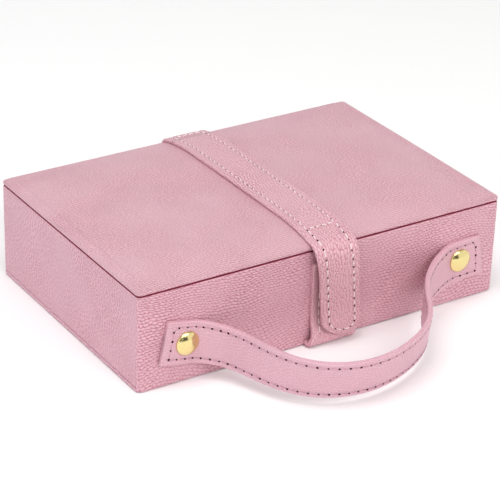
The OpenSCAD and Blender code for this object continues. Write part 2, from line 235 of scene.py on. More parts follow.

# %% [markdown]
# ### Suede cloth, thread, holes, brass, board, steel and mirror
# Suede cloth is a short brushed nap: no gloss, a soft rim of light, and patches where the nap
# lies another way. Sewing thread is two twisted plies of polyester with a dull shine. The awl
# holes between stitches are dark because light dies in them. The rivets are drawn from sheet
# brass, polished and lacquered. Greyboard is pressed paper with a fibrous fleck. The magnets
# are nickel-plated discs, and the mirror is silvered glass, a metal in all but name. The narrow
# gap between the lid and the rim lies in shade, and a dark burgundy painted on its faces is that shade.

# %% Suede
def suede_cloth(name, swatch):
    material, tree, shader = new_material(name)
    nap = speckle(tree, 1500.0, 3.0, 0.6)
    both = add(tree, "ShaderNodeMath", {0: nap, 1: speckle(tree, 60.0)}, operation="ADD")
    tinted(tree, shader, both.outputs[0], swatch, 0.86, 1.08, 0.6, 1.4)
    embossed(tree, shader, nap, 0.5, 0.15)
    shader.inputs["Roughness"].default_value = 0.92
    shader.inputs["Sheen Weight"].default_value = 0.35
    shader.inputs["Sheen Roughness"].default_value = 0.5
    shader.inputs["Sheen Tint"].default_value = linear(SUEDE_SHEEN)
    return material


suede = suede_cloth("suede_cloth_pink", SUEDE_PINK)

# %% Thread and awl holes
def sewing_thread(name, swatch):
    material, tree, shader = new_material(name)
    place = add(tree, "ShaderNodeTexCoord")
    # A twist about every 1.5 mm, drawn as slanting bands.
    twist = add(tree, "ShaderNodeTexWave", {"Vector": place.outputs["Object"], "Scale": 400.0,
                "Distortion": 1.5}, bands_direction="DIAGONAL")
    tinted(tree, shader, twist.outputs["Fac"], swatch, 0.84, 1.04)
    embossed(tree, shader, twist.outputs["Fac"], 0.4, 0.08)
    shader.inputs["Roughness"].default_value = 0.55
    shader.inputs["Sheen Weight"].default_value = 0.2
    return material


def awl_hole(name):
    material, tree, shader = new_material(name)
    tinted(tree, shader, speckle(tree, 900.0), HOLE_SHADOW, 0.6, 1.3)
    shader.inputs["Roughness"].default_value = 0.9
    shader.inputs["Specular IOR Level"].default_value = 0.1
    return material


white_thread = sewing_thread("polyester_thread_white", THREAD_WHITE)
mauve_thread = sewing_thread("polyester_thread_mauve", THREAD_MAUVE)
hole_dark = awl_hole("awl_hole_shadow")

# %% Metals, mirror and board
def polished_metal(name, swatch, roughness, streak, dent=0.06):
    material, tree, shader = new_material(name)
    swirl = speckle(tree, 700.0, 3.0)
    rough = add(tree, "ShaderNodeMapRange", {"Value": swirl, "From Min": 0.3, "From Max": 0.7,
                "To Min": roughness, "To Max": roughness + streak})
    tinted(tree, shader, swirl, swatch, 0.95, 1.03)
    embossed(tree, shader, swirl, dent, 0.05)
    tree.links.new(rough.outputs[0], shader.inputs["Roughness"])
    shader.inputs["Metallic"].default_value = 1.0
    return material


def grey_board(name, dark, pale):
    material, tree, shader = new_material(name)
    fibre = speckle(tree, 800.0, 4.0, 0.7)
    shade = add(tree, "ShaderNodeValToRGB", {"Fac": fibre})
    for stop, position, swatch in zip(shade.color_ramp.elements, (0.35, 0.65), (dark, pale)):
        stop.position = position
        stop.color = linear(swatch)
    embossed(tree, shader, fibre, 0.3, 0.1)
    tree.links.new(shade.outputs[0], shader.inputs["Base Color"])
    shader.inputs["Roughness"].default_value = 0.85
    return material


def painted_gap_shade(name, swatch):
    """Dark burgundy painted shade for the narrow gap between the lid and the rim, on faces under the lid
    and on the rim.
    """
    material, tree, shader = new_material(name)
    tinted(tree, shader, speckle(tree, 220.0), swatch, 0.8, 1.2)
    shader.inputs["Roughness"].default_value = 0.6
    return material


gap_shade = painted_gap_shade("burgundy_gap_shade", GAP_SHADE_BURGUNDY)
brass = polished_metal("lacquered_brass", BRASS_PALE, 0.13, 0.06)
nickel = polished_metal("nickel_plate", NICKEL_GREY, 0.22, 0.10)
silvered = polished_metal("silvered_glass", MIRROR_SILVER, 0.015, 0.005, 0.004)
board = grey_board("pressed_greyboard", BOARD_DARK, BOARD_PALE)
print("materials made:", len(bpy.data.materials))

# %% [markdown]
# ## Skins from rows of points
# Every leather piece is a skin: rows of points joined by quads. A skin is easier to control
# than a bevelled box, because each row can carry its own place on the flattened hide, and so
# the pressed grain runs over the folds as it does on real leather.

# %% A skin from rows of points
def dress(obj, material, body):
    obj.data.materials.clear()
    obj.data.materials.append(material)
    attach(obj, body)
    return obj


def mesh_object(name, points, faces, hide=None):
    """hide(vertex) gives a vertex's place on the flattened hide, for a piece that carries grain."""
    mesh = bpy.data.meshes.new(name)
    mesh.from_pydata([tuple(p) for p in points], [], faces)
    if hide is not None:
        layer = mesh.uv_layers.new(name="Grain")
        for polygon in mesh.polygons:
            for loop in polygon.loop_indices:
                layer.data[loop].uv = hide(mesh.loops[loop].vertex_index)
    mesh.polygons.foreach_set("use_smooth", [True] * len(mesh.polygons))
    mesh.update()
    obj = bpy.data.objects.new(name, mesh)
    scene.collection.objects.link(obj)
    return obj


def skin(name, rows, flat, capped=(False, False)):
    """Joins closed rings. rows[i][j] is a point and flat[i][j] its place on the flattened hide, and each
    row of flat repeats its first place at the end, a whole turn further on."""
    many, across = len(rows), len(rows[0])
    points = [p for row in rows for p in row]
    faces, corners = [], []
    for i in range(many - 1):
        for j in range(across):
            k = (j + 1) % across
            faces.append((i * across + j, i * across + k, (i + 1) * across + k, (i + 1) * across + j))
            corners.append((flat[i][j], flat[i][j + 1], flat[i + 1][j + 1], flat[i + 1][j]))
    for end, wanted in ((0, capped[0]), (many - 1, capped[1])):
        if wanted:
            ring = [end * across + j for j in range(across)]
            faces.append(tuple(ring[::-1] if end == 0 else ring))
            places = [flat[end][j] for j in range(across)]
            corners.append(tuple(places[::-1] if end == 0 else places))
    obj = mesh_object(name, points, faces)
    layer = obj.data.uv_layers.new(name="Grain")
    for polygon, places in zip(obj.data.polygons, corners):
        for loop, place in zip(polygon.loop_indices, places):
            layer.data[loop].uv = place
    if not outward(obj):
        obj.data.flip_normals()
    return obj


def outward(obj):
    """True if a closed skin's faces look out of it, by the sign of its volume."""
    mesh = obj.data
    volume = 0.0
    for polygon in mesh.polygons:
        first = mesh.vertices[polygon.vertices[0]].co
        for a, b in zip(polygon.vertices[1:], polygon.vertices[2:]):
            volume += first.dot(mesh.vertices[a].co.cross(mesh.vertices[b].co))
    return volume > 0


# %% [markdown]
# ## Reading sizes from the frame
# The places of the new pieces come from the boxes of the solids they stand for.

# %% Sizes of the case
def low_high(node):
    low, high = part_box(node)
    return Vector(low), Vector(high)


wall_high = low_high("wall_cover")[1]
lid_low, lid_high = low_high("lid_cover")
half_w, half_d = wall_high.x, wall_high.y
rim_z, lid_z = wall_high.z, lid_low.z
lining_low, lining_high = low_high("wall_lining")
corner_round = 0.0022
print("case %.0f x %.0f x %.0f mm" % (2000 * half_w, 2000 * half_d, 1000 * rim_z))

# %% [markdown]
# ## Rounded outlines
# Boards are cut square, and the leather over them rounds the corners by its own thickness. An
# outline is a ring of points round a rounded rectangle, with the same number of points whatever
# its size, so that rings of different sizes can be joined into one skin.

# %% Outline of a rounded rectangle
def outline(half_x, half_y, radius, corner=7, long_side=36, short_side=24):
    """Ring of (x, y, outward x, outward y), starting at the front of the right side."""
    radius = min(radius, half_x - 1e-5, half_y - 1e-5)
    ix, iy = half_x - radius, half_y - radius
    ring = []
    sides = [((half_x, -iy), (half_x, iy), (1, 0), short_side),
             ((ix, half_y), (-ix, half_y), (0, 1), long_side),
             ((-half_x, iy), (-half_x, -iy), (-1, 0), short_side),
             ((-ix, -half_y), (ix, -half_y), (0, -1), long_side)]
    centres = [(ix, iy), (-ix, iy), (-ix, -iy), (ix, -iy)]
    for number, (start, end, normal, steps) in enumerate(sides):
        for s in range(steps):
            t = s / steps
            ring.append((start[0] + (end[0] - start[0]) * t, start[1] + (end[1] - start[1]) * t,
                         *normal))
        cx, cy = centres[number]
        for s in range(corner):
            angle = math.radians(90 * (number + s / corner))
            ring.append((cx + radius * math.cos(angle), cy + radius * math.sin(angle),
                         math.cos(angle), math.sin(angle)))
    return ring


def arc(inset, height, radius, start, end, steps):
    """Points (inset, height) of an arc about a centre, with angles in degrees: 0 faces outward, 90 up."""
    angles = [math.radians(start + (end - start) * s / steps) for s in range(steps + 1)]
    return [(inset - radius * math.cos(a), height + radius * math.sin(a)) for a in angles]


# %% Painted shade in the gap under the lid
gap_shade_width = 0.0014


def paint_gap_shade(obj, low, high, last_y):
    """Paints shade on the outermost faces between two heights, from the front back to last_y."""
    obj.data.materials.append(gap_shade)
    count = 0
    for polygon in obj.data.polygons:
        centre = polygon.center
        inset = min(half_w - abs(centre.x), half_d - abs(centre.y))
        if low < centre.z < high and inset < gap_shade_width and centre.y < last_y:
            polygon.material_index = 1
            count += 1
    print(obj.name, "painted faces:", count)


# %% [markdown]
# ## Covered walls
# One strip of leather runs round the four walls, turns in over the rim and is glued down under
# the lining. Glue and board leave it very slightly full in the middle of each wall. On the short
# walls the strip is joined with its grain standing upright.

# %% Wall covering
def fullness(x, y, nx, ny, z, foot_z):
    """How far the leather stands out in the middle of a wall, from 0 to 1, and nothing at corners."""
    upward = max(0.0, math.sin(math.pi * (z - foot_z) / (rim_z - 0.001)))
    if abs(ny) > 0.9:
        return upward * (1 - (x / half_w) ** 4)
    return upward * (1 - (y / half_d) ** 4) if abs(nx) > 0.9 else 0.0


def ringed_skin(name, profile, full=0.0, upright=False, front_drop=0.0, front_in=0.0):
    """profile is a list of (inset, height) in metres, from the inside round to the inside.
    In front the lowest rows reach down by front_drop, and all rows step in by front_in."""
    rows, flat = [], []
    travel = 0.0
    for i, (inset, z) in enumerate(profile):
        if i:
            travel += math.dist(profile[i - 1], profile[i])
        ring = outline(half_w - inset, half_d - inset, max(corner_round - inset, 0.0006))
        row, places, along = [], [], 0.0
        for j, (x, y, nx, ny) in enumerate(ring):
            swell = 0.0 if inset > 0.0005 else full * fullness(x, y, nx, ny, z, profile[0][1])
            front = max(0.0, -ny) ** 2
            drop = front_drop * front * max(0.0, 1 - (z - profile[0][1]) / 0.012)
            row.append(Vector((x + nx * swell, y + ny * swell + front_in * front, z - drop)))
            if j:
                along += math.dist((x, y), (ring[j - 1][0], ring[j - 1][1]))
            places.append((along, travel))
        places.append((along + math.dist(ring[-1][:2], ring[0][:2]), travel))
        rows.append(row)
        flat.append(places)
    base_along = flat[len(flat) // 2]
    flat = [[(base_along[j][0], place[1]) for j, place in enumerate(places)] for places in flat]
    obj = skin(name, rows, flat)
    if upright:
        layer = obj.data.uv_layers["Grain"]
        for polygon in obj.data.polygons:
            if abs(polygon.normal.x) > 0.8 * math.hypot(polygon.normal.y, polygon.normal.x) \
                    and abs(polygon.normal.x) > 0.2:
                for loop in polygon.loop_indices:
                    u, v = layer.data[loop].uv
                    layer.data[loop].uv = (v + 0.31, u)
    return obj


base_low, base_high = low_high("base_cover")
seam_z = base_high.z
wall_turn = lining_low.x + half_w + 0.0010
profile = [(0.0030, seam_z + 0.0002)]
profile += arc(0.0006, seam_z + 0.0007, 0.0006, -90, 0, 5)
profile += [(0.0, seam_z + 0.0007 + (rim_z - 0.0012 - seam_z - 0.0007) * k / 14) for k in range(1, 14)]
profile += arc(0.0011, rim_z - 0.0011, 0.0011, 0, 90, 7)
profile += [(0.0016, rim_z)]
profile += arc(wall_turn - 0.0007, rim_z - 0.0007, 0.0007, 90, 180, 5)
profile += [(wall_turn, lining_high.z - 0.002)]
wall_skin = ringed_skin("wall_leather", profile, full=0.0005, upright=True, front_drop=seam_z - 0.0001)
dress(wall_skin, leather, "case")
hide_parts("wall_cover")
# The rim's outer band, all round, is painted with the shade of the gap under the lid.
paint_gap_shade(wall_skin, rim_z - 0.0004, rim_z + 0.001, half_d)
print("wall leather:", len(wall_skin.data.polygons), "faces")

# %% [markdown]
# ## Base panel
# The bottom board is wrapped on its own and glued up under the walls, so a fine seam shows low on
# the ends and the back. In front the wall leather runs down over the panel's edge.

# %% Base covering
wrapped_in = 0.02
front_step = base_low.y + half_d
profile = [(wrapped_in, 0.0)] + arc(0.0009, 0.0009, 0.0009, -90, 0, 6)
profile += arc(0.0007, seam_z - 0.0007, 0.0007, 0, 90, 6) + [(0.004, seam_z)]
base_skin = ringed_skin("base_leather", profile, front_in=front_step)
dress(base_skin, leather, "case")
floor_ring = [Vector((x, y + front_step * max(0.0, -ny) ** 2, 0.0))
              for x, y, nx, ny in outline(half_w - wrapped_in, half_d - wrapped_in, 0.0006)]
base_sheet = mesh_object("base_panel_leather", floor_ring, [tuple(range(len(floor_ring)))[::-1]],
                         hide=lambda vertex: floor_ring[vertex].xy)
dress(base_sheet, leather, "case")
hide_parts("base_cover")
print("base leather:", len(base_skin.data.polygons) + 1, "faces")

# %% [markdown]
# ## Padded lid
# The lid is one board with a thin foam on top, and the leather is drawn over both. The foam
# thins towards the edges, so the lid swells in the middle and rolls down to a crisp border. It
# could be inflated as cloth, but drawn leather over a board is taut, so its crown follows one
# smooth curve: steep at the border and flat from about 30 mm in. The board's turned-in leather
# ends 4 mm from the short sides, and its edge shows through the covering as a fine ridge.

# %% Lid covering
border_t = 0.0024
crown = (lid_high.z - lid_z) - border_t
edge_top = lid_z + border_t
turned_in = 0.0042


def crown_height(inset):
    """Height of the lid's crown over its border, by the distance from the edge."""
    t = min(1.0, max(0.0, inset) / 0.030)
    return crown * (1 - (1 - t) ** 2.4)


def back_dip(y):
    """The covering is drawn down over the hinge, so the lid thins by 0.4 mm towards the back."""
    t = min(1.0, max(0.0, (y + 0.01) / (half_d + 0.01)))
    return 0.0004 * t * t * (3 - 2 * t)


# Rows 0 to 2 lie under the board, then come the turn round its lower edge, the turn round its
# upper edge, and the top.
lower_turn, upper_turn, top_row = 3, 10, 18
profile = [(0.0095, lid_z + 0.00005), (0.004, lid_z), (0.0016, lid_z)]
profile += arc(0.0009, lid_z + 0.0009, 0.0009, -90, 0, 6)
profile += arc(0.0012, edge_top - 0.0012 + 0.0001, 0.0012, 0, 75, 7)
for inset in (0.0016, 0.0023, 0.0030, 0.0036, 0.0040, 0.0044, 0.0048, 0.0054, 0.0062, 0.0075, 0.009,
              0.011, 0.013, 0.0155, 0.018, 0.021, 0.024, 0.027, 0.030, 0.036, 0.044, 0.053, 0.062):
    profile.append((inset, edge_top + crown_height(inset)))
rows, flat = [], []
over = 0.0
for i, (inset, z) in enumerate(profile):
    if lower_turn <= i <= top_row:
        over += math.dist(profile[i - 1], profile[i])
    rounding = corner_round + 0.5 * inset if i > top_row - 3 else max(corner_round - inset, 0.0008)
    ring = outline(half_w - inset, half_d - inset, rounding)
    # The ridge is 0.55 mm high and lies where the board's turned-in leather ends.
    ridge = 0.00055 * math.exp(-((inset - turned_in) / 0.0006) ** 2) if i >= top_row else 0.0
    rows.append([Vector((x, y, z + ridge * nx * nx - (back_dip(y) if i >= upper_turn else 0.0)))
                 for x, y, nx, ny in ring])
    skirt = max(0.0, 0.0042 - over) if i <= top_row else 0.0
    places = [(x + nx * skirt, y + ny * skirt) for x, y, nx, ny in ring]
    flat.append(places + [places[0]])
lid_skin = skin("lid_leather", rows, flat, capped=(False, True))
if lid_skin.data.polygons[-1].normal.z < 0:
    lid_skin.data.flip_normals()
dress(lid_skin, lid_leather, "lid")
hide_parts("lid_cover", "lid_pad")
# The lid's lower outer band, in front only, is painted with the shade of the gap over the rim.
paint_gap_shade(lid_skin, lid_z - 0.001, lid_z + 0.0005, 0.004 - half_d)
print("lid crown: %.1f mm over its border" % (1000 * crown))

# %% [markdown]
# ## Straps
# Every strap here is two plies of leather, glued and stitched 3 to 4 mm in from each edge. The plies
# pull together at the stitches and stand slightly proud between them. A folded edge is round and
# a cut one is nearly square. A strap is swept along stations: a point on its underside, the direction
# across it, and the direction out of it. The same stations then place the stitches.

# %% Stations and the swept strap
class Strap:
    def __init__(self, stations, thickness, edge):
        """stations: (underside middle, across, out, half width, seam distance from the middle)."""
        self.stations = stations
        self.thickness = thickness
        self.edge = edge
        self.length = [0.0]
        for a, b in zip(stations, stations[1:]):
            self.length.append(self.length[-1] + (b[0] - a[0]).length)

    def at(self, s, shift, height):
        """Point at length s, shifted across and raised, and the direction out of the strap there."""
        k = min(max(bisect.bisect_right(self.length, s) - 1, 0), len(self.stations) - 2)
        span = self.length[k + 1] - self.length[k]
        t = (s - self.length[k]) / span if span > 0 else 0
        one, two = self.stations[k], self.stations[k + 1]
        across = one[1].lerp(two[1], t).normalized()
        out = one[2].lerp(two[2], t).normalized()
        return one[0].lerp(two[0], t) + across * shift + out * height, out

    def drawn_in(self, x, seam):
        """How far the stitching pulls the face down at a shift x, from 0 to 1."""
        if seam <= 0:
            return 0.0
        return sum(math.exp(-((x - side * seam) / 0.0007) ** 2) for side in (-1, 1))

    def face_height(self, x, half, seam):
        pillow = 0.00012 * math.cos(math.pi * x / (2 * half))
        return self.thickness - 0.00028 * self.drawn_in(x, seam) + pillow

    def section(self, half, seam):
        """Closed ring of (shift, height) round the strap, starting at its lower left edge."""
        t, r = self.thickness, self.edge
        quarter = [math.radians(18 * k) for k in range(6)]
        ring = [(-half + r - r * math.sin(a), r - r * math.cos(a)) for a in quarter]
        ring += [(-half + r - r * math.cos(a), t - r + r * math.sin(a)) for a in quarter]
        for k in range(1, 30):
            x = -half + r + (2 * half - 2 * r) * k / 30
            ring.append((x, self.face_height(x, half, seam)))
        ring += [(half - r + r * math.sin(a), t - r + r * math.cos(a)) for a in quarter]
        ring += [(half - r + r * math.cos(a), r - r * math.sin(a)) for a in quarter]
        ring += [(half - r - (2 * half - 2 * r) * k / 12, 0.0) for k in range(1, 12)]
        return ring

    def build(self, name, round_start=False, round_end=False):
        rows, flat = [], []
        for number, (point, across, out, half, seam) in enumerate(self.stations):
            ring = self.section(half, seam)
            rows.append([point + across * x + out * h for x, h in ring])
            travel, places = 0.0, []
            for k, (x, h) in enumerate(ring):
                if k:
                    travel += math.dist(ring[k - 1], ring[k])
                places.append((self.length[number], travel))
            places.append((self.length[number], travel + math.dist(ring[-1], ring[0])))
            flat.append(places)
        for wanted, end, step in ((round_start, 0, 1), (round_end, len(rows) - 1, -1)):
            if wanted:
                tuck_end(self, rows, flat, end, step)
        return skin(name, rows, flat, capped=(True, True))


def tuck_end(strap, rows, flat, end, step):
    """Rounds the cut end of a strap by adding narrowing copies of its last ring."""
    point, across, out, half, seam = strap.stations[end]
    neighbour = strap.stations[end + step][0]
    ahead = (point - neighbour).normalized()
    t, e = strap.thickness, strap.edge
    extra, extra_flat = [], []
    for k in range(1, 6):
        a = math.pi / 2 * k / 5
        reach, shrink = e * math.sin(a), e * 0.96 * (1 - math.cos(a))
        ring = strap.section(half, seam)
        extra.append([point + ahead * reach + across * (x - math.copysign(min(abs(x), shrink), x))
                      + out * (t / 2 + (h - t / 2) * (1 - 2 * shrink / t)) for x, h in ring])
        extra_flat.append([(place[0] - step * reach, place[1]) for place in flat[end]])
    if step == 1:
        rows[:0], flat[:0] = extra[::-1], extra_flat[::-1]
    else:
        rows += extra
        flat += extra_flat


# %% [markdown]
# ## Lockstitches
# A lockstitch shows as a row of short thread bars. Each bar rises out of one awl hole and dives
# into the next. Bars are real geometry here, because at this size they catch the light before
# the leather does, and the hole at the start of each bar is a small disc of painted shade.

# %% Stitch rows
thread_sink = 0.00012


def stitch_row(name, spots, thread, hole, body=None, blend=None, radius=0.00032, slant=0.0):
    """spots: list of (start, end, out) for each stitch, start and end on the leather's surface.
    A thick thread lies slanted, because each lock sits beside its hole."""
    points, faces = [], []
    hole_points, hole_faces = [], []
    rings, facets, hole_facets = 7, 6, 10
    for start, end, out in spots:
        along = (end - start).normalized()
        side = along.cross(out).normalized()
        hole_at = start - along * hole * 0.6
        lock = slant * random.uniform(0.5, 1.3)
        start = start - side * lock + along * random.uniform(-0.0002, 0.0002)
        end = end + side * lock + along * random.uniform(-0.0003, 0.0002)
        along = end - start
        length = along.length
        along.normalize()
        first = len(points)
        for i in range(rings):
            t = i / (rings - 1)
            lift = radius * (1.15 * math.sin(math.pi * t) ** 0.6) - thread_sink
            wide = radius * (0.55 + 0.45 * math.sin(math.pi * t))
            centre = start + along * (length * t) + out * lift
            for j in range(facets):
                a = 2 * math.pi * j / facets
                points.append(centre + side * (wide * math.cos(a)) + out * (wide * math.sin(a)))
        for i in range(rings - 1):
            here, there = first + i * facets, first + (i + 1) * facets
            for j in range(facets):
                k = (j + 1) % facets
                faces.append((here + j, here + k, there + k, there + j))
        faces.append(tuple(first + j for j in range(facets))[::-1])
        faces.append(tuple(first + (rings - 1) * facets + j for j in range(facets)))
        base = len(hole_points)
        wide = hole * random.uniform(0.8, 1.15)
        hole_points.append(hole_at + out * 0.00003)
        for j in range(hole_facets):
            a = 2 * math.pi * j / hole_facets
            hole_points.append(hole_at + along * (wide * 1.1 * math.cos(a)) + side * (wide * math.sin(a))
                               + out * 0.00006)
        for j in range(hole_facets):
            hole_faces.append((base, base + 1 + j, base + 1 + (j + 1) % hole_facets))
    bars = mesh_object(name, points, faces)
    bars.data.materials.append(thread)
    holes = mesh_object(name + "_holes", hole_points, hole_faces)
    holes.data.materials.append(hole_dark)
    for obj in (bars, holes):
        if blend:
            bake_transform(obj)
        else:
            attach(obj, body)


def row_spots(strap, route, pitch, share=0.74, face=1):
    """Stitch spots along a route of (length, shift) on a strap, on its top (face 1) or back (-1)."""
    fine = []
    for (s0, x0), (s1, x1) in zip(route, route[1:]):
        steps = max(1, round(math.dist((s0, x0), (s1, x1)) / 0.0005))
        fine += [(s0 + (s1 - s0) * k / steps, x0 + (x1 - x0) * k / steps) for k in range(steps)]
    fine.append(route[-1])
    travel = [0.0]
    for a, b in zip(fine, fine[1:]):
        travel.append(travel[-1] + math.dist(a, b))

    def place(length):
        k = min(max(bisect.bisect_right(travel, length) - 1, 0), len(fine) - 2)
        span = travel[k + 1] - travel[k]
        t = (length - travel[k]) / span if span > 0 else 0
        a, b = fine[k], fine[k + 1]
        s, x = a[0] + (b[0] - a[0]) * t, a[1] + (b[1] - a[1]) * t
        if face < 0:
            return strap.at(s, x, -0.00002)
        station = min(bisect.bisect_right(strap.length, s), len(strap.stations) - 1)
        half, seam = strap.stations[station][3:]
        height = strap.face_height(x, half, seam) + 0.00005 + 0.00008 * strap.drawn_in(x, seam)
        return strap.at(s, x, height)

    count = max(1, round(travel[-1] / pitch))
    step = travel[-1] / count
    spots = []
    for k in range(count):
        a, out = place((k + 0.5 - share / 2) * step)
        b = place((k + 0.5 + share / 2) * step)[0]
        spots.append((a, b, out * face))
    return spots


def curve_through(points, steps):
    """Smooth curve through tuples of numbers, with a given number of steps between two of them."""
    result = []
    for i in range(len(points) - 1):
        a, b, c = points[max(i - 1, 0)], points[i], points[i + 1]
        d = points[min(i + 2, len(points) - 1)]
        for k in range(steps):
            t = k / steps
            result.append(tuple(0.5 * (2 * q + (r - p) * t + (2 * p - 5 * q + 4 * r - w) * t * t
                                       + (3 * q - p - 3 * r + w) * t ** 3)
                                for p, q, r, w in zip(a, b, c, d)))
    result.append(points[-1])
    return result


def headings(line):
    """Each (y, z) of a line, with the direction from the point before it to the point after it."""
    for k, (y, z) in enumerate(line):
        before, after = line[max(k - 1, 0)], line[min(k + 1, len(line) - 1)]
        yield y, z, after[0] - before[0], after[1] - before[1]


print("strap and stitch tools are ready")

# %% [markdown]
# ## Closing strap
# The strap is sewn to the lid near the back edge, lies over the crown, bends over the front edge
# and ends in a loose tongue that a pair of hidden magnets holds against the keeper. It is one skin,
# from the lid over the bend down to the tongue. The tongue drifts a little to the right as it hangs.

# %% Stations of the closing strap
strap_low, strap_high = low_high("lid_strap")
strap_mid, strap_half = (strap_low.x + strap_high.x) / 2, (strap_high.x - strap_low.x) / 2
strap_t = 0.0020
strap_inset = 0.0040
tongue_low = low_high("tongue")[0]
split_y = half_d - 0.0085


def over_lid(y):
    return edge_top + crown_height(half_d - abs(y)) - back_dip(y) + 0.00008


def strap_station(y, z, out_y, out_z, x=strap_mid, turn=0.0, half=strap_half, seam=None):
    out = Vector((0, out_y, out_z)).normalized()
    across = Vector((1, 0, 0))
    if turn:
        across = Matrix.Rotation(turn, 3, out) @ across
    return Vector((x, y, z)), across, out, half, half - strap_inset if seam is None else seam


front_y = -half_d + 0.0050
lid_steps = 44
line = [split_y + (front_y - split_y) * k / lid_steps for k in range(lid_steps + 1)]
line = [(y, over_lid(y)) for y in line]
# Two plies are too stiff to crease, so the strap leaves the lid early and comes round in a wide bow.
bow = [(front_y, over_lid(front_y)), (-half_d + 0.0021, edge_top + 0.0006), (-half_d - 0.0006, edge_top),
       (-half_d - 0.0028, edge_top - 0.0014), (-half_d - 0.0042, edge_top - 0.0036),
       (-half_d - 0.0050, edge_top - 0.0066), (-half_d - 0.0054, edge_top - 0.0106),
       (-half_d - 0.0056, edge_top - 0.0160)]
line += curve_through(bow, 5)[1:]
tongue_half = 0.0114
tip = tongue_half
turn = math.radians(4.6)
drift = 0.0012
bend_last = len(line) - 12
stations = []
for y, z, dy, dz in headings(line):
    # The strap narrows and drifts right from the lid's edge on.
    t = min(1.0, max(0.0, (edge_top - z) / 0.016))
    t = t * t * (3 - 2 * t)
    half = strap_half + (tongue_half - strap_half) * t
    stations.append(strap_station(y, z, dz, -dy, strap_mid + drift * t, turn * t, half))
start_y, start_z = line[-1]
straight = start_z - (tongue_low.z + 0.0026) - tip
distances = [straight * k / 16 for k in range(1, 17)]
tip_end = 83.5
distances += [straight + tip * math.sin(math.radians(a))
              for a in (8, 16, 24, 32, 40, 48, 55, 62, 68, 74, 79, tip_end)]
for d in distances:
    x = strap_mid + drift + math.tan(turn) * d
    beyond = max(0.0, d - straight)
    half = math.sqrt(max(tip * tip - beyond * beyond, 1e-8))
    seam = math.sqrt(max((tip - strap_inset) ** 2 - beyond * beyond, 0.0))
    # The tip was cut by eye, so its round is fuller on the left.
    x += 0.0045 * (beyond / tip) ** 2
    stations.append(strap_station(start_y - 0.008 * d, start_z - d, -1.0, 0.008, x, turn, half, seam))
closing = Strap(stations, strap_t, 0.0009)
print("closing strap: %.0f mm long" % (1000 * closing.length[-1]))

# %% Skin and stitches of the closing strap
closing_skin = closing.build("closing_strap_leather", round_end=True)
closing_skin.data.materials.append(strap_leather)
bend_blend = ("lid", "tongue", (0, -half_d + 0.0010, edge_top + 0.0020),
              (0, -half_d - 0.0058, edge_top - 0.0062))
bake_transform(closing_skin)
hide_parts("lid_strap", "tongue")
seam_x = strap_half - strap_inset
tip_seam = tongue_half - strap_inset
tip_start = closing.length[-1] - tip * math.sin(math.radians(tip_end))
bend_start = closing.length[lid_steps]
bend_end = closing.length[bend_last]
cross_s = bend_start - 0.0045
around = [(tip_start + tip_seam * math.sin(math.radians(a)), -tip_seam * math.cos(math.radians(a)))
          for a in range(0, 181, 10)]
# On the lid the thread is drawn tight, and on the tongue it lies loose over bigger holes.
for side, word in ((-1, "left"), (1, "right")):
    on_lid = [(0.001, side * seam_x), (cross_s, side * seam_x)]
    stitch_row("closing_strap_stitches_" + word, row_spots(closing, on_lid, 0.0040, 0.56), white_thread,
               0.00030, body="lid", radius=0.00026, slant=0.00026)
loose = [(cross_s, -seam_x), (bend_end, -tip_seam), (tip_start, -tip_seam)] + around
loose += [(bend_end, tip_seam), (cross_s, seam_x)]
stitch_row("tongue_stitches", row_spots(closing, loose, 0.0042, 0.62), white_thread, 0.00048,
           blend=bend_blend, slant=0.00022)
cross_route = [(cross_s, -seam_x + 0.001), (cross_s, seam_x - 0.001)]
stitch_row("closing_strap_cross_stitches", row_spots(closing, cross_route, 0.0034, 0.66), white_thread,
           0.00030, body="lid", slant=0.0003)
print("closing strap stitched")

# %% [markdown]
# ## Strap down the back and the leather hinge
# At the back edge the strap turns down over the hinge and is sewn to the rear wall. The hinge is
# a strip of the same leather glued to the rear wall and to the lid's edge. Each is one skin that
# runs from the case up to the lid.

# %% Rear strap
rear_low = low_high("rear_strap")[0]
hinge_low, hinge_high = low_high("hinge_leather")
hinge_t = hinge_high.y - half_d
on_wall, on_hinge = half_d + 0.0001, half_d + hinge_t + 0.0001
back_line = [(on_wall, rear_low.z), (on_wall, rear_low.z + 0.012), (on_wall, hinge_low.z - 0.005),
             (half_d + 0.0003, hinge_low.z - 0.002), (on_hinge, hinge_low.z + 0.001),
             (on_hinge, rim_z - 0.006), (on_hinge, rim_z - 0.001),
             (half_d + hinge_t - 0.0001, edge_top - 0.0017), (half_d - 0.0006, edge_top - 0.0004),
             (half_d - 0.0030, over_lid(half_d - 0.0030)), (half_d - 0.0060, over_lid(half_d - 0.0060)),
             (split_y, over_lid(split_y))]
back_line = curve_through(back_line, 6)
stations = [strap_station(y, z, dz, -dy) for y, z, dy, dz in headings(back_line)]
rear = Strap(stations, strap_t - 0.0002, 0.0008)
rear_skin = rear.build("rear_strap_leather", round_start=True)
rear_skin.data.materials.append(strap_leather)
rear_blend = ("case", "lid", (0, half_d, rim_z - 0.0030), (0, half_d, rim_z + 0.0026))
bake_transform(rear_skin)
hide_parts("rear_strap")
rear_route = [(rear.length[-1], -seam_x), (0.004, -seam_x), (0.004, seam_x), (rear.length[-1], seam_x)]
stitch_row("rear_strap_stitches", row_spots(rear, rear_route, 0.0045), white_thread, 0.00030,
           blend=rear_blend)
cross_s = rear.length[-1] - 0.0035
cross_route = [(cross_s, -seam_x + 0.001), (cross_s, seam_x - 0.001)]
stitch_row("rear_strap_cross_stitches", row_spots(rear, cross_route, 0.0036), white_thread, 0.00030,
           body="lid")
print("rear strap: %.0f mm long" % (1000 * rear.length[-1]))

